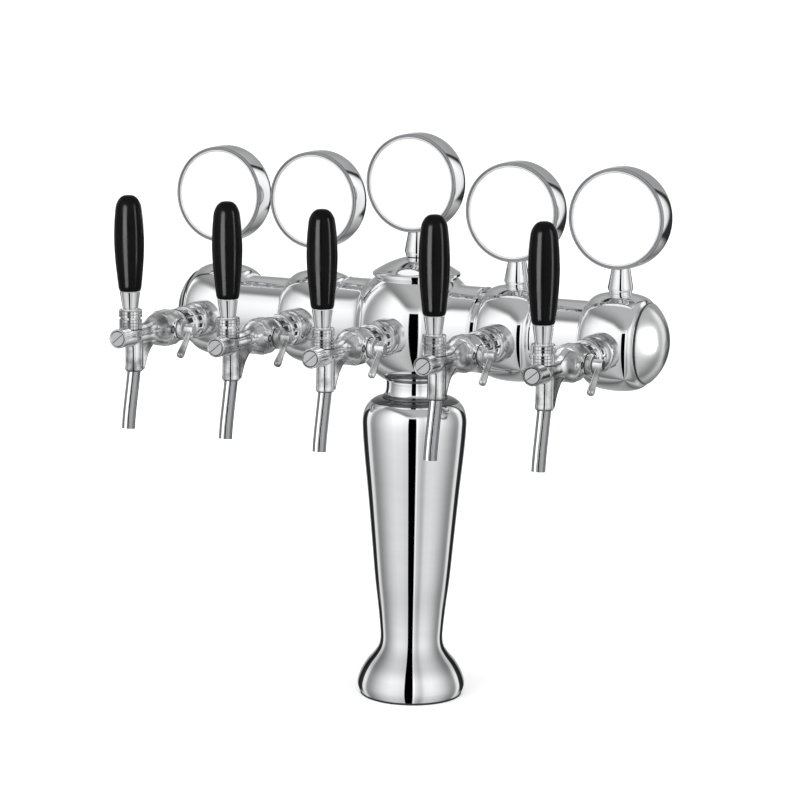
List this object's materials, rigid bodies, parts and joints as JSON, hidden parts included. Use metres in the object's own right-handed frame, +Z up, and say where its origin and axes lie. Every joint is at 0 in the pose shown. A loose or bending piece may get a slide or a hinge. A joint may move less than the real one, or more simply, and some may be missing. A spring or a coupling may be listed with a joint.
{
  "type": "beer tap tower",
  "caption": "T-shaped polished column tower with a level arm of barrel drums, lever-handled compensator taps in front and a round blank medallion above each.",
  "frame": {"origin": "on the column's axis, at the underside of the base gasket, which is the top of the counter", "axes": "+Z up along the column, +X along the arm towards the right-hand end as seen from the front, -Y towards the person who pours (the taps face -Y)"},
  "size_m": [0.5006, 0.272, 0.5359],
  "materials": {
    "chrome": "mirror polished plating",
    "steel": "plain turned steel",
    "spout_steel": "polished stainless tube",
    "grip_plastic": "gloss black",
    "face_plastic": "blank white",
    "rubber": "matte black"
  },
  "bodies": {
    "tower": {"base_gasket": "rubber", "clamp_ring": "steel", "column_shell": "chrome", "neck_collar": "chrome", "centre_housing": "chrome", "top_cap": "chrome", "left_inner_drum": "chrome", "left_outer_drum": "chrome", "left_arm_tube": "chrome", "left_end_cap": "chrome", "right_inner_drum": "chrome", "right_outer_drum": "chrome", "right_arm_tube": "chrome", "right_end_cap": "chrome", "cooling_line": "steel", "medallion_housing_1": "chrome", "medallion_housing_2": "chrome", "medallion_housing_3": "chrome", "medallion_housing_4": "chrome", "medallion_housing_5": "chrome", "medallion_face_1": "face_plastic", "medallion_face_2": "face_plastic", "medallion_face_3": "face_plastic", "medallion_face_4": "face_plastic", "medallion_face_5": "face_plastic", "tap_body_1": "chrome", "tap_body_2": "chrome", "tap_body_3": "chrome", "tap_body_4": "chrome", "tap_body_5": "chrome", "tap_shank_1": "chrome", "tap_shank_2": "chrome", "tap_shank_3": "chrome", "tap_shank_4": "chrome", "tap_shank_5": "chrome", "tap_spout_1": "spout_steel", "tap_spout_2": "spout_steel", "tap_spout_3": "spout_steel", "tap_spout_4": "spout_steel", "tap_spout_5": "spout_steel"},
    "handle_1": {"handle_lever_1": "chrome", "handle_grip_1": "grip_plastic"},
    "flow_control_1": {"flow_lever_1": "chrome"},
    "piston_1": {"tap_piston_1": "steel"},
    "handle_2": {"handle_lever_2": "chrome", "handle_grip_2": "grip_plastic"},
    "flow_control_2": {"flow_lever_2": "chrome"},
    "piston_2": {"tap_piston_2": "steel"},
    "handle_3": {"handle_lever_3": "chrome", "handle_grip_3": "grip_plastic"},
    "flow_control_3": {"flow_lever_3": "chrome"},
    "piston_3": {"tap_piston_3": "steel"},
    "handle_4": {"handle_lever_4": "chrome", "handle_grip_4": "grip_plastic"},
    "flow_control_4": {"flow_lever_4": "chrome"},
    "piston_4": {"tap_piston_4": "steel"},
    "handle_5": {"handle_lever_5": "chrome", "handle_grip_5": "grip_plastic"},
    "flow_control_5": {"flow_lever_5": "chrome"},
    "piston_5": {"tap_piston_5": "steel"}
  },
  "joints": [
    {"name": "handle_1_pull", "type": "hinge", "parent": "tower", "child": "handle_1", "pos_m": [-0.204, -0.1766, 0.3735], "axis": [1, 0, 0], "range_deg": [-10, 22]},
    {"name": "flow_control_1_turn", "type": "hinge", "parent": "tower", "child": "flow_control_1", "pos_m": [-0.177, -0.115, 0.352], "axis": [1, 0, 0], "range_deg": [-45, 45]},
    {"name": "piston_1_travel", "type": "slide", "parent": "tower", "child": "piston_1", "axis": [0, 1, 0], "range_m": [-0.0032, 0.0068]},
    {"name": "handle_2_pull", "type": "hinge", "parent": "tower", "child": "handle_2", "pos_m": [-0.102, -0.1766, 0.3735], "axis": [1, 0, 0], "range_deg": [-10, 22]},
    {"name": "flow_control_2_turn", "type": "hinge", "parent": "tower", "child": "flow_control_2", "pos_m": [-0.075, -0.115, 0.352], "axis": [1, 0, 0], "range_deg": [-45, 45]},
    {"name": "piston_2_travel", "type": "slide", "parent": "tower", "child": "piston_2", "axis": [0, 1, 0], "range_m": [-0.0032, 0.0068]},
    {"name": "handle_3_pull", "type": "hinge", "parent": "tower", "child": "handle_3", "pos_m": [0, -0.1893, 0.3735], "axis": [1, 0, 0], "range_deg": [-10, 22]},
    {"name": "flow_control_3_turn", "type": "hinge", "parent": "tower", "child": "flow_control_3", "pos_m": [0.027, -0.1277, 0.352], "axis": [1, 0, 0], "range_deg": [-45, 45]},
    {"name": "piston_3_travel", "type": "slide", "parent": "tower", "child": "piston_3", "axis": [0, 1, 0], "range_m": [-0.0032, 0.0068]},
    {"name": "handle_4_pull", "type": "hinge", "parent": "tower", "child": "handle_4", "pos_m": [0.102, -0.1766, 0.3735], "axis": [1, 0, 0], "range_deg": [-10, 22]},
    {"name": "flow_control_4_turn", "type": "hinge", "parent": "tower", "child": "flow_control_4", "pos_m": [0.129, -0.115, 0.352], "axis": [1, 0, 0], "range_deg": [-45, 45]},
    {"name": "piston_4_travel", "type": "slide", "parent": "tower", "child": "piston_4", "axis": [0, 1, 0], "range_m": [-0.0032, 0.0068]},
    {"name": "handle_5_pull", "type": "hinge", "parent": "tower", "child": "handle_5", "pos_m": [0.204, -0.1766, 0.3735], "axis": [1, 0, 0], "range_deg": [-10, 22]},
    {"name": "flow_control_5_turn", "type": "hinge", "parent": "tower", "child": "flow_control_5", "pos_m": [0.231, -0.115, 0.352], "axis": [1, 0, 0], "range_deg": [-45, 45]},
    {"name": "piston_5_travel", "type": "slide", "parent": "tower", "child": "piston_5", "axis": [0, 1, 0], "range_m": [-0.0032, 0.0068]}
  ],
  "couplings": [
    {"joint": "piston_1_travel", "follows": "handle_1_pull", "m_per_rad": 0.017},
    {"joint": "piston_2_travel", "follows": "handle_2_pull", "m_per_rad": 0.017},
    {"joint": "piston_3_travel", "follows": "handle_3_pull", "m_per_rad": 0.017},
    {"joint": "piston_4_travel", "follows": "handle_4_pull", "m_per_rad": 0.017},
    {"joint": "piston_5_travel", "follows": "handle_5_pull", "m_per_rad": 0.017}
  ]
}
